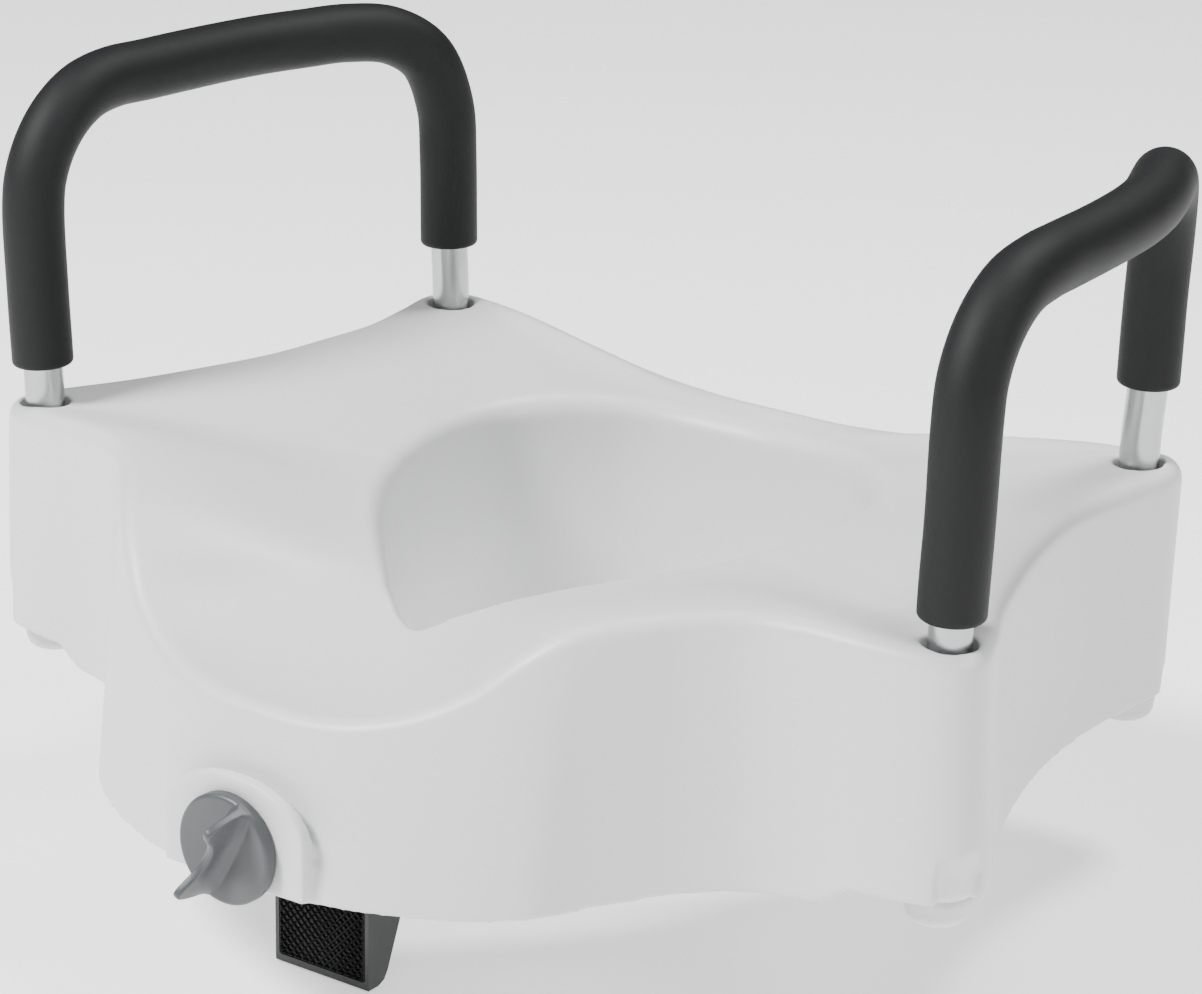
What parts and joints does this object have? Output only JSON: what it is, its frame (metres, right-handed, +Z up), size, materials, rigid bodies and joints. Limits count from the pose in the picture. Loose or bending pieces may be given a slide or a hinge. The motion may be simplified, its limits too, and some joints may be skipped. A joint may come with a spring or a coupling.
{
  "type": "raised toilet seat",
  "caption": "White moulded raised toilet seat with a scooped nose, two foam-padded tubular arms and a knob-driven clamp that grips the bowl.",
  "frame": {"origin": "middle of the bowl_rest mount: on the plane of symmetry, in the plane the rest pads and feet end in", "axes": "+Z up, -Y to the front where the knob is, +X to the seat's left arm as one sits on it"},
  "size_m": [0.556, 0.4584, 0.3568],
  "materials": {
    "shell_plastic": "satin",
    "tube_aluminium": "brushed",
    "grip_foam": "closed-cell foam",
    "cap_plastic": "satin",
    "plug_nylon": "matt",
    "steel": "zinc plated",
    "plate_steel": "zinc plated",
    "pad_rubber": "matt",
    "knob_plastic": "satin",
    "bracket_plastic": "satin",
    "spring_steel": "oiled"
  },
  "bodies": {
    "seat": {"seat_shell": "shell_plastic", "arm_tube_left": "tube_aluminium", "arm_tube_right": "tube_aluminium", "foam_grip_left": "grip_foam", "foam_grip_right": "grip_foam", "foot_cap_front_left": "cap_plastic", "foot_cap_front_right": "cap_plastic", "foot_cap_back_left": "cap_plastic", "foot_cap_back_right": "cap_plastic", "tube_plug_front_left": "plug_nylon", "tube_plug_front_right": "plug_nylon", "tube_plug_back_left": "plug_nylon", "tube_plug_back_right": "plug_nylon", "cap_screw_front_left": "steel", "cap_screw_front_right": "steel", "cap_screw_back_left": "steel", "cap_screw_back_right": "steel", "guide_plate": "plate_steel", "guide_screw_front_left": "steel", "guide_screw_front_right": "steel", "guide_screw_back_left": "steel", "guide_screw_back_right": "steel", "rest_pad_front_left": "pad_rubber", "rest_pad_front_right": "pad_rubber", "rest_pad_back_left": "pad_rubber", "rest_pad_back_right": "pad_rubber", "thrust_washer": "steel"},
    "knob": {"clamp_knob": "knob_plastic", "clamp_spindle": "steel", "retaining_clip": "spring_steel"},
    "clamp": {"clamp_bracket": "bracket_plastic", "clamp_pad": "pad_rubber", "clamp_nut": "steel"}
  },
  "joints": [
    {"name": "knob_turn", "type": "hinge", "parent": "seat", "child": "knob", "pos_m": [0, -0.2902, 0.0183], "axis": [0, 1, 0], "range_deg": [-1153, 2017]},
    {"name": "clamp_slide", "type": "slide", "parent": "seat", "child": "clamp", "axis": [0, 1, 0], "range_m": [-0.028, 0.016]}
  ],
  "couplings": [
    {"joint": "knob_turn", "follows": "clamp_slide", "rad_per_m": -1256.6}
  ]
}
